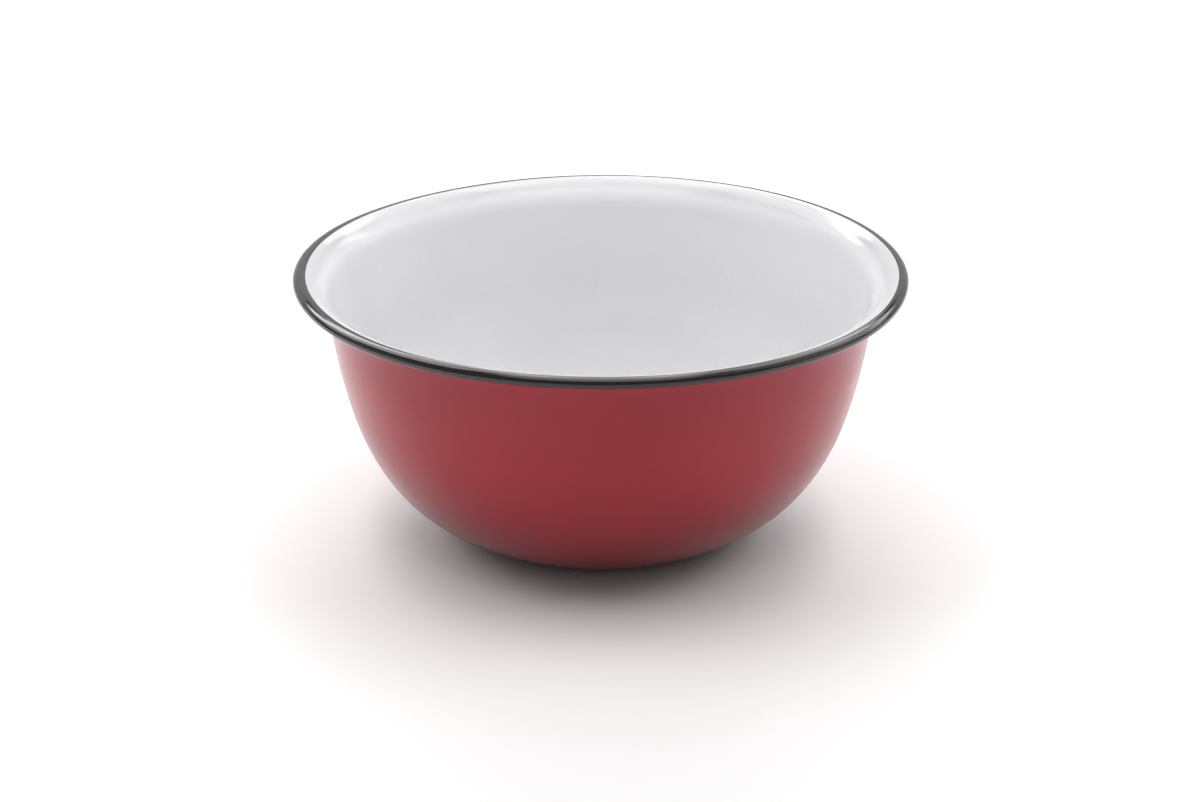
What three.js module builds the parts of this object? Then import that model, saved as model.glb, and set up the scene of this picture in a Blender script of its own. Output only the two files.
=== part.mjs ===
// Enamelled steel bowl. One deep-drawn steel sheet with a narrow flared flange
// and a rolled rim, a dark ground coat on both of its faces, and three coloured
// cover coats: white inside, red outside, black on the rim.
//
// Every piece is a solid of revolution. The sheet's middle line is laid out once,
// from the axis of the base to the cut edge inside the roll. Each layer is the
// band between two offsets of that line, so the layers fit face to face.
import * as THREE from "three";

// ---- driving dimensions, in millimetres and degrees ----
const RIM_RADIUS = 80; // outside of the rolled rim, over the enamel
const STEEL = 0.6; // sheet thickness
const GROUND = 0.1; // ground coat, on each face
const COVER = 0.2; // cover coat, on each face
const SEGMENTS = 32; // facets round the bowl

const RECESS_RADIUS = 17; // middle of the base, pressed up a little
const RECESS_HEIGHT = 0.6;
const FOOT_INNER_RADIUS = 21; // flat ring that the bowl stands on
const FOOT_OUTER_RADIUS = 28.75;
const CORNER_RADIUS = 7.55; // outside of the bend from base to wall
const CORNER_ANGLE = 23;

// outside of the wall: radius, height, steepness from the horizontal
const WALL = [
  [39.03, 4.17, 27.7],
  [46.13, 8.26, 33.4],
  [52.43, 13.36, 44.9],
  [58.4, 20.8, 57.0],
  [63.4, 30.5, 67.8],
  [67.12, 42.13, 76.2],
  [70.05, 56.0, 78.3],
];

const SHOULDER_START = [71.35, 65.05]; // outside of the wall where it begins to flare
const SHOULDER_RADIUS = 8.4; // middle of the sheet, in the flare
const SHOULDER_ANGLES = [79.4, 61, 42, 22.5];
const FLANGE_END_ANGLE = 12; // the flange flattens from 22.5 to 12 degrees
const CREST_RADIUS = 2.2; // middle of the sheet, over the top of the rim
const CREST_ANGLES = [0, -18, -36];
const CREST_END_ANGLE = CREST_ANGLES[CREST_ANGLES.length - 1];
const ROLL_RADIUS = 0.65; // middle of the sheet, in the roll
const ROLL_ANGLES = [-63, -90, -135, -180, -235]; // the last one is the cut edge

// ---- the sheet's middle line ----
const HALF = STEEL / 2 + GROUND + COVER; // middle line to the finished surface
const rad = THREE.MathUtils.degToRad;

// A station is a point of the middle line and the direction the line runs there.
const station = (r, z, degrees) => ({ r, z, a: rad(degrees) });
// The point at a distance from a station, measured towards the upper (inner) face.
const offset = (s, d) =>
  new THREE.Vector2(s.r - d * Math.sin(s.a), s.z + d * Math.cos(s.a));
// The station whose lower (outer) face passes through a given point.
const fromOutside = (r, z, degrees) => {
  const p = offset(station(r, z, degrees), HALF);
  return station(p.x, p.y, degrees);
};
// The next station after a bend of the given radius, turning left or right.
const bend = (s, radius, degrees) => {
  const a = rad(degrees);
  const turn = Math.sign(a - s.a);
  return {
    r: s.r + turn * radius * (Math.sin(a) - Math.sin(s.a)),
    z: s.z - turn * radius * (Math.cos(a) - Math.cos(s.a)),
    a,
  };
};

const line = [
  station(0, HALF + RECESS_HEIGHT, 0),
  station(RECESS_RADIUS, HALF + RECESS_HEIGHT, 0),
  station(FOOT_INNER_RADIUS, HALF, 0),
  station(FOOT_OUTER_RADIUS, HALF, 0),
];
const last = () => line[line.length - 1];
line.push(bend(last(), CORNER_RADIUS - HALF, CORNER_ANGLE));
for (const [r, z, degrees] of WALL) line.push(fromOutside(r, z, degrees));
line.push(fromOutside(...SHOULDER_START, SHOULDER_ANGLES[0]));
for (const degrees of SHOULDER_ANGLES.slice(1))
  line.push(bend(last(), SHOULDER_RADIUS, degrees));

// The flange's long bend takes up the length that brings the rim out to its radius.
const shoulderEnd = last();
const crestReach =
  CREST_RADIUS *
  (Math.sin(rad(FLANGE_END_ANGLE)) - Math.sin(rad(CREST_END_ANGLE)));
const rollReach = ROLL_RADIUS * (1 + Math.sin(rad(CREST_END_ANGLE)));
const flangeRadius =
  (RIM_RADIUS - HALF - rollReach - crestReach - shoulderEnd.r) /
  (Math.sin(shoulderEnd.a) - Math.sin(rad(FLANGE_END_ANGLE)));
line.push(bend(shoulderEnd, flangeRadius, FLANGE_END_ANGLE));
const COLOUR_LINE = line.length - 1; // white and red end here, black begins

for (const degrees of CREST_ANGLES) line.push(bend(last(), CREST_RADIUS, degrees));
for (const degrees of ROLL_ANGLES) line.push(bend(last(), ROLL_RADIUS, degrees));
const CUT_EDGE = line.length - 1;

// ---- layers ----
// The solid of revolution between two offsets of the middle line, from one
// station to another. The lower face runs outwards and the upper face back.
function layer(name, from, to, low, high, look) {
  const run = line.slice(from, to + 1);
  const profile = [
    ...run.map((s) => offset(s, low)),
    ...run.map((s) => offset(s, high)).reverse(),
  ];
  if (from > 0) profile.push(profile[0].clone()); // a ring closes on itself
  const mesh = new THREE.Mesh(
    new THREE.LatheGeometry(profile, SEGMENTS),
    new THREE.MeshStandardMaterial(look),
  );
  mesh.name = name;
  mesh.rotation.x = Math.PI / 2; // the axis of revolution stands along +Z
  return mesh;
}

const S = STEEL / 2;
const G = S + GROUND;

const bowl = new THREE.Group();
bowl.name = "enamelled_bowl";
bowl.add(
  layer("steel_shell", 0, CUT_EDGE, -S, S, {
    color: 0x8b8d90,
    roughness: 0.4,
    metalness: 1,
  }),
  layer("ground_coat_inside", 0, CUT_EDGE, S, G, {
    color: 0x1d2230,
    roughness: 0.35,
    metalness: 0,
  }),
  layer("ground_coat_outside", 0, CUT_EDGE, -G, -S, {
    color: 0x1d2230,
    roughness: 0.35,
    metalness: 0,
  }),
  layer("white_lining", 0, COLOUR_LINE, G, HALF, {
    color: 0xe9e8e8,
    roughness: 0.12,
    metalness: 0,
  }),
  layer("red_outer_coat", 0, COLOUR_LINE, -HALF, -G, {
    color: 0x8e1f2a,
    roughness: 0.12,
    metalness: 0,
  }),
  layer("black_rim_coat", COLOUR_LINE, CUT_EDGE, G, HALF, {
    color: 0x17181a,
    roughness: 0.12,
    metalness: 0,
  }),
);

export default bowl;
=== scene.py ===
"""Looks of an enamelled steel bowl: red outside, white inside, black on the rolled rim.

Each layer of the bowl is a smooth turned solid that stands for the faceted layer of
the same place: the pressed sheet, its dark ground coats and the three cover coats.
The sheet's middle line is laid out once and every layer is a band along it.
"""

import math

import bpy
import numpy as np
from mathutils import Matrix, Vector


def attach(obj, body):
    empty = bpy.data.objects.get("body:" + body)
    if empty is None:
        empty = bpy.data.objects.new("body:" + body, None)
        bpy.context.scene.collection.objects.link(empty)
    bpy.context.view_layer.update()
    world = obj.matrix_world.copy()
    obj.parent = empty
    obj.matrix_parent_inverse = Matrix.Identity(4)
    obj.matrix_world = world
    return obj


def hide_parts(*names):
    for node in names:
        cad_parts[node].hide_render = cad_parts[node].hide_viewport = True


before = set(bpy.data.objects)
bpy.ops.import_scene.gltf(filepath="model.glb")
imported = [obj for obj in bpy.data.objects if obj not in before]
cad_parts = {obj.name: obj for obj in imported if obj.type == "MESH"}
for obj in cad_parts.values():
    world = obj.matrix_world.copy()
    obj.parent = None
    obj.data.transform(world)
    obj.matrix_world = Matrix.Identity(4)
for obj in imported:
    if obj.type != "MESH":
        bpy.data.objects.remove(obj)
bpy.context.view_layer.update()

# ---- sizes in millimetres and degrees ----
RIM_RADIUS = 80.0
STEEL, GROUND, COVER = 0.6, 0.1, 0.2
HALF = STEEL / 2 + GROUND + COVER
UNDER = STEEL / 2 + GROUND

RECESS_RADIUS, RECESS_HEIGHT = 17.0, 0.6
FOOT_INNER_RADIUS, FOOT_OUTER_RADIUS = 21.0, 28.75
CORNER_RADIUS, CORNER_ANGLE = 7.55, 23.0
WALL = [
    (39.03, 4.17, 27.7),
    (46.13, 8.26, 33.4),
    (52.43, 13.36, 44.9),
    (58.4, 20.8, 57.0),
    (63.4, 30.5, 67.8),
    (67.12, 42.13, 76.2),
    (70.05, 56.0, 78.3),
]
SHOULDER_START = (71.35, 65.05)
SHOULDER_RADIUS = 8.4
SHOULDER_ANGLES = (79.4, 22.5)
FLANGE_END_ANGLE = 12.0
CREST_RADIUS, CREST_END_ANGLE = 2.2, -36.0
ROLL_RADIUS, ROLL_END_ANGLE = 0.65, -235.0

PIN_MARKS = [(24.6, 82.0), (24.3, 205.0), (24.9, 321.0)]  # radius and bearing of the firing marks under the foot

rad = math.radians


# ---- the sheet's middle line ----
def bend(points, a0, a1, radius, n):
    """Adds an arc to the line, from heading a0 to heading a1 in degrees; returns nothing."""
    x, y = points[-1]
    turn = 1.0 if a1 > a0 else -1.0
    for t in np.linspace(0, 1, n + 1)[1:]:
        a = rad(a0 + (a1 - a0) * t)
        points.append(
            (
                x + turn * radius * (math.sin(a) - math.sin(rad(a0))),
                y - turn * radius * (math.cos(a) - math.cos(rad(a0))),
            )
        )


def clamped_spline(points, a0, a1, n):
    """A smooth curve through points that leaves at heading a0 and arrives at heading a1, in degrees."""
    p = np.array(points, float)
    t = np.r_[0, np.cumsum(np.hypot(*np.diff(p, axis=0).T))]
    h = np.diff(t)
    m = len(p)
    lhs = np.zeros((m, m))
    rhs = np.zeros((m, 2))
    d0 = np.array([math.cos(rad(a0)), math.sin(rad(a0))])
    d1 = np.array([math.cos(rad(a1)), math.sin(rad(a1))])
    lhs[0, 0], lhs[0, 1] = 2 * h[0], h[0]
    rhs[0] = 6 * ((p[1] - p[0]) / h[0] - d0)
    lhs[-1, -1], lhs[-1, -2] = 2 * h[-1], h[-1]
    rhs[-1] = 6 * (d1 - (p[-1] - p[-2]) / h[-1])
    for i in range(1, m - 1):
        lhs[i, i - 1], lhs[i, i], lhs[i, i + 1] = h[i - 1], 2 * (h[i - 1] + h[i]), h[i]
        rhs[i] = 6 * ((p[i + 1] - p[i]) / h[i] - (p[i] - p[i - 1]) / h[i - 1])
    k = np.linalg.solve(lhs, rhs)
    out = []
    for q in np.linspace(0, t[-1], n + 1)[1:]:
        i = min(np.searchsorted(t, q, side="right") - 1, m - 2)
        u, w = q - t[i], t[i + 1] - q
        out.append(
            k[i] * w**3 / (6 * h[i])
            + k[i + 1] * u**3 / (6 * h[i])
            + (p[i] / h[i] - k[i] * h[i] / 6) * w
            + (p[i + 1] / h[i] - k[i + 1] * h[i] / 6) * u
        )
    return [tuple(q) for q in out]


def inside_of(r, z, a):
    """The middle line's point behind a point of the outer face."""
    return r - HALF * math.sin(rad(a)), z + HALF * math.cos(rad(a))


def smoothstep(x, lo, hi):
    t = np.clip((np.asarray(x, float) - lo) / (hi - lo), 0, 1)
    return t * t * (3 - 2 * t)


def blurred(values, sigma, step):
    n = int(4 * sigma / step)
    kernel = np.exp(-0.5 * (np.arange(-n, n + 1) * step / sigma) ** 2)
    kernel /= kernel.sum()
    padded = np.r_[np.full(n, values[0]), values, np.full(n, values[-1])]
    return np.convolve(padded, kernel, mode="valid")


def middle_line(step=0.02):
    """Arrays of distance along the line, radius, height and heading, and the distance where the colours meet."""
    pts = [(0.0, HALF + RECESS_HEIGHT)]
    for r in np.linspace(0, RECESS_RADIUS, 60)[1:]:
        pts.append((r, HALF + RECESS_HEIGHT))
    for t in np.linspace(0, 1, 60)[1:]:
        pts.append(
            (
                RECESS_RADIUS + (FOOT_INNER_RADIUS - RECESS_RADIUS) * t,
                HALF + RECESS_HEIGHT * (1 - float(smoothstep(t, 0, 1))),
            )
        )
    for r in np.linspace(FOOT_INNER_RADIUS, FOOT_OUTER_RADIUS, 40)[1:]:
        pts.append((r, HALF))
    bend(pts, 0, CORNER_ANGLE, CORNER_RADIUS - HALF, 60)
    wall = [pts[-1]] + [inside_of(*w) for w in WALL]
    wall.append(inside_of(*SHOULDER_START, SHOULDER_ANGLES[0]))
    pts += clamped_spline(wall, CORNER_ANGLE, SHOULDER_ANGLES[0], 900)
    bend(pts, *SHOULDER_ANGLES, SHOULDER_RADIUS, 60)
    crest = CREST_RADIUS * (math.sin(rad(FLANGE_END_ANGLE)) - math.sin(rad(CREST_END_ANGLE)))
    roll = ROLL_RADIUS * (1 + math.sin(rad(CREST_END_ANGLE)))
    flange = (RIM_RADIUS - HALF - roll - crest - pts[-1][0]) / (
        math.sin(rad(SHOULDER_ANGLES[1])) - math.sin(rad(FLANGE_END_ANGLE))
    )
    bend(pts, SHOULDER_ANGLES[1], FLANGE_END_ANGLE, flange, 60)
    marks = [len(pts) - 1]
    bend(pts, FLANGE_END_ANGLE, CREST_END_ANGLE, CREST_RADIUS, 60)
    marks.append(len(pts) - 1)
    bend(pts, CREST_END_ANGLE, ROLL_END_ANGLE, ROLL_RADIUS, 200)
    p = np.array(pts)
    along = np.r_[0, np.cumsum(np.hypot(*np.diff(p, axis=0).T))]
    s_line, s_roll = along[marks[0]], along[marks[1]]
    s = np.arange(0, along[-1] + step / 2, step)
    q = np.stack([np.interp(s, along, p[:, 0]), np.interp(s, along, p[:, 1])], 1)
    heading = np.unwrap(np.arctan2(np.gradient(q[:, 1]), np.gradient(q[:, 0])))
    # A drawn sheet has no sudden change of curvature, so the heading is eased: more on the wall, less towards the roll.
    wide, mid, fine = (blurred(heading, x, step) for x in (1.3, 0.55, 0.1))
    to_mid = smoothstep(s, s_line - 12, s_line - 8)
    to_fine = smoothstep(s, s_roll - 0.9, s_roll + 0.1)
    a = wide * (1 - to_mid) + mid * to_mid
    a = a * (1 - to_fine) + fine * to_fine
    mean = (a[1:] + a[:-1]) / 2
    r = np.r_[0, np.cumsum(np.cos(mean)) * step]
    z = HALF + RECESS_HEIGHT + np.r_[0, np.cumsum(np.sin(mean)) * step]
    # The easing moves the ends by some hundredths: they are put back on the rim's radius and height and on the foot's plane.
    foot = np.interp((FOOT_INNER_RADIUS + FOOT_OUTER_RADIUS) / 2, r[: len(r) // 2], z[: len(r) // 2])
    z = z - (foot - HALF)
    top = (z + HALF * np.cos(a)).max()
    want = q[:, 1].max() + HALF
    z = HALF + (z - HALF) * (want - HALF) / (top - HALF)
    r = r * (RIM_RADIUS - HALF) / (r.max())
    return s, r, z, a, s_line


S, R, Z, A, S_LINE = middle_line()
S_END = S[-1]


def stations(lo, hi, widest=1.3, turn=6.0):
    """Distances along the line from lo to hi, closer where it bends."""
    density = np.maximum(1 / widest, np.abs(np.gradient(A, S)) / rad(turn))
    density = blurred(density, 0.4, S[1] - S[0])
    k = (S >= lo - 1e-9) & (S <= hi + 1e-9)
    count = np.r_[0, np.cumsum((density[k][1:] + density[k][:-1]) / 2) * (S[1] - S[0])]
    n = max(3, int(math.ceil(count[-1])) + 1)
    got = np.interp(np.linspace(0, count[-1], n), count, S[k])
    got[0], got[-1] = lo, hi
    return got


def face_point(s, d):
    """Radius and height at a distance along the line and a distance off it, towards the upper face."""
    r, z, a = np.interp(s, S, R), np.interp(s, S, Z), np.interp(s, S, A)
    return r - d * np.sin(a), z + d * np.cos(a)


def hand_made(r, z, th):
    """A pressed and rolled bowl isn't quite round: slow waves of one or two tenths that grow from the base to the rim."""
    w = smoothstep(z, 6, 70)
    dr = w * (
        0.05
        + 0.08 * np.cos(th)
        + 0.10 * np.cos(2 * th + 0.4)
        - 0.09 * np.cos(3 * th)
        + 0.08 * np.sin(3 * th)
        - 0.05 * np.cos(4 * th)
        - 0.04 * np.sin(4 * th)
        + 0.035 * np.cos(5 * th + 2.0)
    )
    dz = w * (
        -0.04
        + 0.19 * np.sin(th)
        + 0.06 * np.cos(th - 0.8)
        + 0.05 * np.cos(2 * th)
        + 0.14 * np.sin(2 * th)
        - 0.05 * np.cos(3 * th)
        + 0.08 * np.sin(3 * th)
        + 0.145 * np.cos(4 * th)
        + 0.02 * np.cos(7 * th)
    )
    return np.stack([(r + dr) * np.cos(th), (r + dr) * np.sin(th), z + dz], -1)


def colour_line(th):
    """How far the edge of the black enamel strays from its mean line, in millimetres along the sheet."""
    front = np.mod(th - 4.57 + math.pi, 2 * math.pi) - math.pi
    return (
        -0.11
        + 0.35 * np.exp(-((front / 0.4) ** 2))
        + 0.30 * np.cos(th + 0.35)
        - 0.27 * np.cos(2 * th - 0.52)
        + 0.07 * np.sin(2 * th + 0.8)
        + 0.045 * np.sin(5 * th + 1.7)
        + 0.03 * np.sin(9 * th + 0.4)
        + 0.018 * np.sin(17 * th + 2.2)
    )


# ---- turned pieces ----
def turned(name, profile, segments, strays=None, swells=None):
    """A closed solid of revolution. profile holds (distance along the line, distance off it), the lower face
    outwards and then the upper face back. strays and swells shift either number by bearing."""
    th = np.linspace(0, 2 * math.pi, segments, endpoint=False)
    rings = []
    for s, d in profile:
        s_all = np.full(segments, float(s))
        d_all = np.full(segments, float(d))
        if strays is not None:
            s_all = s_all + strays(s, th)
        if swells is not None:
            d_all = d_all + swells(s, d, th)
        r, z = face_point(s_all, d_all)
        rings.append((r, z))
    on_axis = profile[0][0] < 1e-6 and profile[-1][0] < 1e-6
    verts, faces = [], []
    if on_axis:
        first = np.array([[0, 0, rings[0][1][0]]])
        last = np.array([[0, 0, rings[-1][1][0]]])
        body = rings[1:-1]
    else:
        body = rings
    grid = [hand_made(r, z, th) for r, z in body]
    n = len(grid)
    co = np.concatenate(grid + ([first, last] if on_axis else [])) * 0.001
    j = np.arange(segments)
    j1 = (j + 1) % segments
    quads = []
    for k in range(n - 1 if on_axis else n):
        a, b = k * segments, ((k + 1) % n) * segments
        quads.append(np.stack([a + j, a + j1, b + j1, b + j], 1))
    faces = [tuple(int(x) for x in f) for f in np.concatenate(quads)]
    if on_axis:
        lo, hi = n * segments, n * segments + 1
        faces += [(lo, int(j1[i]), int(i)) for i in range(segments)]
        top = (n - 1) * segments
        faces += [(top + int(i), top + int(j1[i]), hi) for i in range(segments)]
    mesh = bpy.data.meshes.new(name)
    mesh.from_pydata([tuple(c) for c in co], [], faces)
    mesh.validate()
    mesh.polygons.foreach_set("use_smooth", np.ones(len(mesh.polygons), bool))
    mesh.set_sharp_from_angle(angle=rad(50))
    mesh.update()
    obj = bpy.data.objects.new(name, mesh)
    bpy.context.scene.collection.objects.link(obj)
    return obj


def band(lo, hi, low, high, **fine):
    s = stations(lo, hi, **fine)
    return [(x, low) for x in s] + [(x, high) for x in s[::-1]]


FINE = 320
COARSE = 128

steel = turned("pressed_sheet", band(0, S_END, -STEEL / 2, STEEL / 2, widest=2.0, turn=12), COARSE)
ground_in = turned("ground_glaze_inside", band(0, S_END, STEEL / 2, UNDER, widest=2.0, turn=12), COARSE)
ground_out = turned("ground_glaze_outside", band(0, S_END, -UNDER, -STEEL / 2, widest=2.0, turn=12), COARSE)


def to_line_from_inside(s, th):
    return colour_line(th) * smoothstep(s, S_LINE - 2.6, S_LINE)


def to_line_from_rim(s, th):
    return colour_line(th) * (1 - smoothstep(s, S_LINE, S_LINE + 1.6))


white = turned("white_glaze", band(0, S_LINE, UNDER, HALF), FINE, strays=to_line_from_inside)

# The black is laid over the rim with a brush or by dipping: its edge is a soft, slightly raised bead.
rim_s = np.r_[S_LINE, S_LINE + np.array([0.03, 0.08, 0.16, 0.28, 0.45, 0.7]), stations(S_LINE + 1.0, S_END, widest=0.5, turn=7.0)]
rim_profile = [(x, UNDER) for x in rim_s] + [(x, HALF) for x in rim_s[::-1]]


def rim_swell(s, d, th):
    if d < HALF - 1e-6:
        return 0.0 * th
    u = s - S_LINE
    edge = 0.045 * (1 - math.exp(-u / 0.05)) * math.exp(-((u / 0.55) ** 2))
    drawn = 0.02 * math.exp(-u / 0.03)
    return (edge - drawn) * (1 + 0.25 * np.sin(4 * th + 1.0) + 0.15 * np.sin(11 * th))


black = turned("black_rim_glaze", rim_profile, FINE, strays=to_line_from_rim, swells=rim_swell)


# The red coat carries the marks of the three pins that it stood on in the kiln.
def pin_swell(s, d, th):
    if d > -HALF + 1e-6:
        return 0.0 * th
    r = np.interp(s, S, R)
    total = 0.0 * th
    if 20 < r < 29:
        for pr, pa in PIN_MARKS:
            dist = np.hypot(r * np.cos(th) - pr * math.cos(rad(pa)), r * np.sin(th) - pr * math.sin(rad(pa)))
            total = total + 0.13 * np.exp(-((dist / 0.75) ** 4))
    return total


red_s = np.unique(np.round(np.r_[stations(0, S_LINE), np.arange(22.0, 28.0, 0.25)], 5))
red_profile = [(x, -HALF) for x in red_s] + [(x, -UNDER) for x in red_s[::-1]]
red = turned("red_glaze", red_profile, FINE, swells=pin_swell)

for piece, node, slot in (
    (steel, "steel_shell", "sheet_steel"),
    (ground_in, "ground_coat_inside", "ground_enamel"),
    (ground_out, "ground_coat_outside", "ground_enamel"),
    (white, "white_lining", "white_enamel"),
    (red, "red_outer_coat", "red_enamel"),
    (black, "black_rim_coat", "black_enamel"),
):
    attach(piece, "root")
    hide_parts(node)


# ---- materials ----
class Nodes:
    """A material's node tree, with short calls for the nodes used here."""

    def __init__(self, name):
        self.mat = bpy.data.materials.new(name)
        self.mat.use_nodes = True
        self.tree = self.mat.node_tree
        self.bsdf = next(n for n in self.tree.nodes if n.type == "BSDF_PRINCIPLED")
        self.place = self.add("ShaderNodeTexCoord").outputs["Object"]

    def add(self, kind, **props):
        node = self.tree.nodes.new(kind)
        for k, v in props.items():
            setattr(node, k, v)
        return node

    def link(self, a, b):
        self.tree.links.new(a, b)

    def put(self, socket, value):
        if isinstance(value, bpy.types.NodeSocket):
            self.link(value, socket)
        else:
            socket.default_value = value

    def noise(self, scale, detail=2.0, rough=0.5, place=None):
        n = self.add("ShaderNodeTexNoise")
        self.link(place or self.place, n.inputs["Vector"])
        n.inputs["Scale"].default_value = scale
        n.inputs["Detail"].default_value = detail
        n.inputs["Roughness"].default_value = rough
        return n.outputs["Fac"]

    def ramp(self, value, lo, hi, to_lo=0.0, to_hi=1.0, smooth=True):
        n = self.add("ShaderNodeMapRange")
        if smooth:
            n.interpolation_type = "SMOOTHSTEP"
        self.put(n.inputs["Value"], value)
        for k, v in (("From Min", lo), ("From Max", hi), ("To Min", to_lo), ("To Max", to_hi)):
            n.inputs[k].default_value = v
        return n.outputs["Result"]

    def math(self, op, a, b=0.0):
        n = self.add("ShaderNodeMath", operation=op)
        self.put(n.inputs[0], a)
        self.put(n.inputs[1], b)
        return n.outputs[0]

    def mix(self, fac, a, b, mode="MIX"):
        n = self.add("ShaderNodeMix", data_type="RGBA", blend_type=mode)
        self.put(n.inputs["Factor"], fac)
        self.put(n.inputs[6], a if isinstance(a, bpy.types.NodeSocket) else (*a, 1))
        self.put(n.inputs[7], b if isinstance(b, bpy.types.NodeSocket) else (*b, 1))
        return n.outputs[2]

    def xyz(self):
        n = self.add("ShaderNodeSeparateXYZ")
        self.link(self.place, n.inputs[0])
        return n.outputs

    def specks(self, scale, size, share):
        """1 in small scattered dots, 0 elsewhere."""
        n = self.add("ShaderNodeTexVoronoi")
        self.link(self.place, n.inputs["Vector"])
        n.inputs["Scale"].default_value = scale
        dot = self.ramp(n.outputs["Distance"], size * 0.55, size, 1.0, 0.0)
        split = self.add("ShaderNodeSeparateColor")
        self.link(n.outputs["Color"], split.inputs[0])
        chosen = self.math("GREATER_THAN", split.outputs[0], 1.0 - share)
        return self.math("MULTIPLY", dot, chosen)

    def bump(self, height, distance, normal=None):
        n = self.add("ShaderNodeBump")
        n.inputs["Strength"].default_value = 1.0
        n.inputs["Distance"].default_value = distance
        self.link(height, n.inputs["Height"])
        if normal is not None:
            self.link(normal, n.inputs["Normal"])
        return n.outputs["Normal"]


def enamel(name, tones, speck, speck_share, rough, peel, ior=1.52):
    """Fired glass enamel: two close tones that drift into each other, a fine grain, a few burnt specks,
    a gloss that varies a little and the long low ripple of a melted surface. Returns the tree and its colour."""
    m = Nodes(name)
    drift = m.ramp(m.noise(34, 3.0, 0.55), 0.36, 0.64)
    colour = m.mix(drift, tones[0], tones[1])
    grain = m.ramp(m.noise(820, 3.0, 0.6), 0.3, 0.7)
    colour = m.mix(m.math("MULTIPLY", grain, 0.22), colour, tones[2])
    dots = m.specks(120, 0.026, speck_share)
    colour = m.mix(m.math("MULTIPLY", dots, 0.75), colour, speck)
    gloss = m.ramp(m.noise(55, 4.0, 0.6), 0.3, 0.7, rough[0], rough[1])
    m.put(m.bsdf.inputs["Roughness"], gloss)
    wave = m.bump(m.noise(210, 1.0, 0.4), peel)
    fine = m.bump(m.noise(1300, 2.0, 0.5), peel * 0.06, wave)
    pit = m.bump(dots, 0.00001, fine)
    m.put(m.bsdf.inputs["Normal"], pit)
    m.bsdf.inputs["IOR"].default_value = ior
    return m, colour


# white lining: lighter on the upper wall as painted light and greyer on the flange as painted shade, both chosen to
# meet the photograph's tones
m, colour = enamel(
    "white_enamel",
    ((0.820, 0.820, 0.834), (0.800, 0.801, 0.816), (0.760, 0.760, 0.770)),
    (0.25, 0.22, 0.19),
    0.10,
    (0.07, 0.13),
    0.000018,
    1.46,
)
x, y, z = m.xyz()
across = m.math("SQRT", m.math("ADD", m.math("MULTIPLY", x, x), m.math("MULTIPLY", y, y)))
# painted light: the upper inner wall is made lighter, standing in for light falling there
painted_light_upper_wall = m.ramp(z, 0.042, 0.064)
colour = m.mix(painted_light_upper_wall, colour, m.mix(1.0, colour, (1.14, 1.14, 1.14), "MULTIPLY"))
# painted shade: the flange is made greyer, standing in for less light on it
painted_shade_flange = m.ramp(across, 0.0717, 0.0746)
colour = m.mix(painted_shade_flange, colour, m.mix(1.0, colour, (0.735, 0.735, 0.735), "MULTIPLY"))
m.put(m.bsdf.inputs["Base Color"], colour)
white.data.materials.append(m.mat)

# red coat: painted shade makes it darker towards the base, chosen to meet the photograph's tones; with guessed marks
# where kiln pins stood and a scuffed foot
m, colour = enamel(
    "red_enamel",
    ((0.356, 0.0060, 0.0210), (0.329, 0.0050, 0.0182), (0.279, 0.0046, 0.0150)),
    (0.030, 0.006, 0.006),
    0.12,
    (0.29, 0.34),
    0.000018,
    1.33,
)
# its gloss is half haze and half a clear skin; a sharp gloss alone makes the denoiser draw a line along the outline
m.bsdf.inputs["Coat Weight"].default_value = 0.43
m.bsdf.inputs["Coat Roughness"].default_value = 0.08
m.bsdf.inputs["Coat IOR"].default_value = 1.5
m.put(m.bsdf.inputs["Coat Normal"], m.bsdf.inputs["Normal"].links[0].from_socket)
x, y, z = m.xyz()
# painted shade: the red darkens towards the base, standing in for the shade under the bowl
painted_shade_base = m.ramp(z, 0.0, 0.042, 0.40, 1.0)
hsv = m.add("ShaderNodeHueSaturation")
m.put(hsv.inputs["Color"], colour)
m.put(hsv.inputs["Value"], painted_shade_base)
colour = hsv.outputs["Color"]
marks = None
for pr, pa in PIN_MARKS:
    n = m.add("ShaderNodeVectorMath", operation="DISTANCE")
    m.link(m.place, n.inputs[0])
    n.inputs[1].default_value = (pr * math.cos(rad(pa)) * 0.001, pr * math.sin(rad(pa)) * 0.001, 0.0)
    spot = m.ramp(n.outputs["Value"], 0.0006, 0.00105, 1.0, 0.0)
    marks = spot if marks is None else m.math("MAXIMUM", marks, spot)
colour = m.mix(marks, colour, (0.020, 0.018, 0.022))
scuff = m.math("MULTIPLY", m.ramp(z, 0.00002, 0.00012, 1.0, 0.0), m.ramp(m.noise(260, 4.0, 0.65), 0.42, 0.62))
colour = m.mix(m.math("MULTIPLY", scuff, 0.35), colour, (0.34, 0.10, 0.10))
m.put(m.bsdf.inputs["Base Color"], colour)
gloss = m.bsdf.inputs["Roughness"].links[0].from_socket
gloss = m.math("ADD", gloss, m.math("MULTIPLY", m.math("MAXIMUM", scuff, marks), 0.35))
m.put(m.bsdf.inputs["Roughness"], gloss)
red.data.materials.append(m.mat)

# black rim
m, colour = enamel(
    "black_enamel",
    ((0.0065, 0.0064, 0.0066), (0.0095, 0.0090, 0.0088), (0.0140, 0.0132, 0.0128)),
    (0.050, 0.045, 0.040),
    0.10,
    (0.07, 0.14),
    0.000016,
    1.62,
)
m.bsdf.inputs["Specular Tint"].default_value = (1.0, 0.92, 0.925, 1.0)
m.put(m.bsdf.inputs["Base Color"], colour)
black.data.materials.append(m.mat)

# ground coat: dark blue-black glass with fine bubbles
m, colour = enamel(
    "ground_enamel",
    ((0.016, 0.018, 0.026), (0.011, 0.012, 0.018), (0.030, 0.032, 0.040)),
    (0.10, 0.10, 0.11),
    0.4,
    (0.22, 0.38),
    0.00002,
)
m.put(m.bsdf.inputs["Base Color"], colour)
ground_in.data.materials.append(m.mat)
ground_out.data.materials.append(m.mat)

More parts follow.
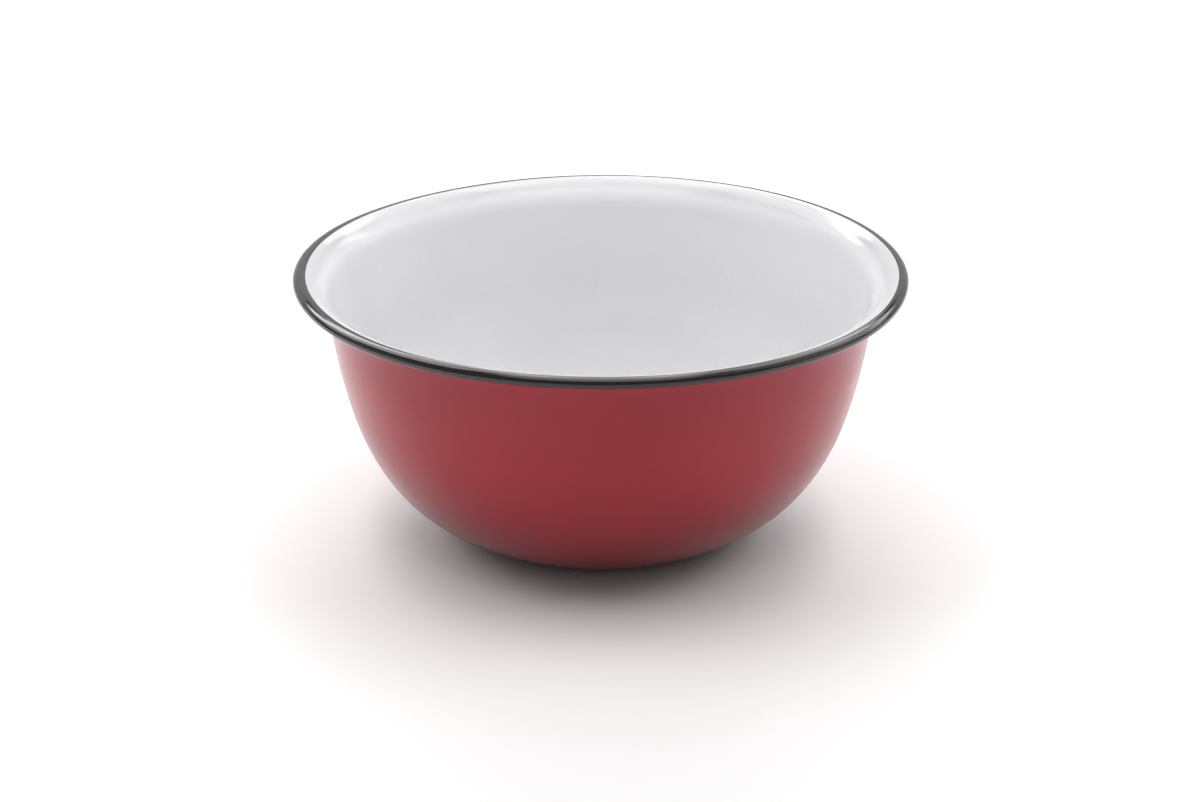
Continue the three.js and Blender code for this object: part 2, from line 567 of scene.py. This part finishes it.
# bare sheet: drawn steel with long scratches round the bowl
m = Nodes("sheet_steel")
x, y, z = m.xyz()
stretch = m.add("ShaderNodeCombineXYZ")
m.put(stretch.inputs[0], m.math("MULTIPLY", z, 40.0))
m.put(stretch.inputs[1], m.math("MULTIPLY", x, 1.5))
m.put(stretch.inputs[2], m.math("MULTIPLY", y, 1.5))
lines = m.noise(60, 4.0, 0.6, stretch.outputs[0])
m.put(m.bsdf.inputs["Base Color"], m.mix(lines, (0.42, 0.42, 0.43), (0.60, 0.60, 0.61)))
m.put(m.bsdf.inputs["Roughness"], m.ramp(lines, 0.3, 0.7, 0.28, 0.46))
m.put(m.bsdf.inputs["Normal"], m.bump(lines, 0.00001))
m.bsdf.inputs["Metallic"].default_value = 1.0
steel.data.materials.append(m.mat)

# ---- stage: pale floor, soft white surroundings ----
scene = bpy.context.scene
floor_mesh = bpy.data.meshes.new("floor")
floor_mesh.from_pydata([(-4, -4, -0.00005), (4, -4, -0.00005), (4, 4, -0.00005), (-4, 4, -0.00005)], [], [(0, 1, 2, 3)])
floor = bpy.data.objects.new("floor", floor_mesh)
scene.collection.objects.link(floor)
m = Nodes("pale_floor")
m.put(m.bsdf.inputs["Base Color"], m.mix(m.noise(9, 3.0), (0.93, 0.93, 0.93), (0.91, 0.91, 0.91)))
m.bsdf.inputs["Roughness"].default_value = 0.7
m.bsdf.inputs["Specular IOR Level"].default_value = 0.1
floor.data.materials.append(m.mat)

world = bpy.data.worlds.new("soft_white")
world.use_nodes = True
back = world.node_tree.nodes["Background"]
back.inputs["Color"].default_value = (1.0, 1.0, 1.0, 1.0)
back.inputs["Strength"].default_value = 0.25
scene.world = world


def softbox(name, bearing, height, away, size, bright, matt=True, gloss=True):
    """A rectangular softbox that faces the bowl: bearing and height in degrees, distance and size in metres.
    bright is its radiance. Fills light only the matt colour, and cards show only in the gloss."""
    light = bpy.data.lights.new(name, "AREA")
    light.shape = "RECTANGLE"
    light.size, light.size_y = size
    light.energy = bright * math.pi * size[0] * size[1]
    obj = bpy.data.objects.new(name, light)
    flat = away * math.cos(rad(height))
    obj.location = (flat * math.cos(rad(bearing)), flat * math.sin(rad(bearing)), 0.04 + away * math.sin(rad(height)))
    obj.rotation_euler = (Vector((0, 0, 0.04)) - obj.location).to_track_quat("-Z", "Y").to_euler()
    obj.visible_diffuse, obj.visible_glossy = matt, gloss
    scene.collection.objects.link(obj)


def panel(name, bearing, low, high, bright):
    """A card 1.5 m away that shows only in the gloss, between two bearings and two heights in degrees."""
    middle = (low + high) / 2
    wide = 3.0 * math.tan(rad(bearing[1] - bearing[0]) / 2) * math.cos(rad(middle))
    tall = 3.0 * math.tan(rad(high - low) / 2)
    softbox(name, (bearing[0] + bearing[1]) / 2, middle, 1.5, (wide, tall), bright, matt=False)


def floor_light(name, x, y, size, bright):
    """A gridded softbox that looks straight down on the floor beside the bowl."""
    softbox(name, 90, 89.9, 0.86, size, bright, gloss=False)
    obj = bpy.data.objects[name]
    obj.location = (x, y, 0.9)
    obj.rotation_euler = (0, 0, 0)
    obj.data.spread = rad(60)


softbox("fill_left", 180, 42, 1.3, (1.0, 0.6), 2.48, gloss=False)
softbox("fill_right", 0, 42, 1.3, (1.0, 0.6), 2.46, gloss=False)
softbox("fill_back", 90, 20, 1.3, (1.2, 0.5), 2.75, gloss=False)
softbox("fill_back_high", 90, 48, 1.3, (1.0, 0.7), 1.20, gloss=False)
softbox("fill_front", 270, 30, 1.3, (1.2, 0.5), 0.20, gloss=False)
softbox("fill_front_high", 270, 62, 1.3, (1.0, 0.6), 0.23, gloss=False)
floor_light("floor_back", 0, 0.45, (1.6, 0.5), 0.60)
floor_light("floor_left", -0.5, 0, (0.5, 1.2), 2.05)
floor_light("floor_right", 0.5, 0, (0.5, 1.2), 1.62)
softbox("card_horizon", 90, 3.6, 1.6, (3.0, 0.23), 0.85, matt=False)
panel("card_low", (74, 106), 8, 28, 0.54)
panel("card_low_left", (106, 143), 8, 26, 0.50)
panel("card_low_right", (37, 74), 8, 26, 0.52)
panel("card_middle", (84, 96), 28, 41, 3.80)
panel("card_left", (108, 132), 33, 41, 5.80)
panel("card_left_inner", (96, 108), 30, 41, 4.20)
panel("card_left_under", (120, 132), 26, 33, 6.45)
panel("card_left_end", (132, 152), 26, 41, 1.90)
panel("card_right", (60, 72), 33, 41, 4.30)
panel("card_right_inner", (72, 84), 28, 41, 2.60)
panel("card_right_under", (36, 60), 26, 33, 3.30)
panel("card_right_outer", (36, 60), 33, 41, 1.60)
panel("card_right_end", (20, 36), 10, 45, 1.50)
panel("card_back", (76, 104), 41, 66, 3.30)
panel("card_left_over", (104, 148), 41, 66, 2.70)
panel("card_right_over", (32, 76), 41, 66, 2.40)
panel("card_top", (50, 130), 66, 80, 3.20)
panel("card_side_left", (160, 200), 4, 30, 0.30)
panel("card_side_right", (-20, 20), 4, 66, 0.55)
softbox("card_overhead", 270, 85, 1.5, (1.1, 0.78), 1.60, matt=False)

# ---- camera: the photograph's viewing angle ----
cam = bpy.data.cameras.new("camera")
cam.sensor_fit = "HORIZONTAL"
cam.sensor_width = 36.0
cam.lens = 3696.0 / 1200.0 * 36.0
cam.clip_start, cam.clip_end = 0.02, 50
cam_obj = bpy.data.objects.new("camera", cam)
pitch = rad(21.52)
dist, target = 0.9759, 0.0354
cam_obj.location = (-0.00018, -dist * math.cos(pitch), target + dist * math.sin(pitch))
cam_obj.rotation_euler = (math.pi / 2 - pitch, 0, 0)
scene.collection.objects.link(cam_obj)
scene.camera = cam_obj

scene.view_settings.view_transform = "Standard"
scene.view_settings.look = "None"
scene.view_settings.exposure = 0.0
scene.view_settings.gamma = 1.0
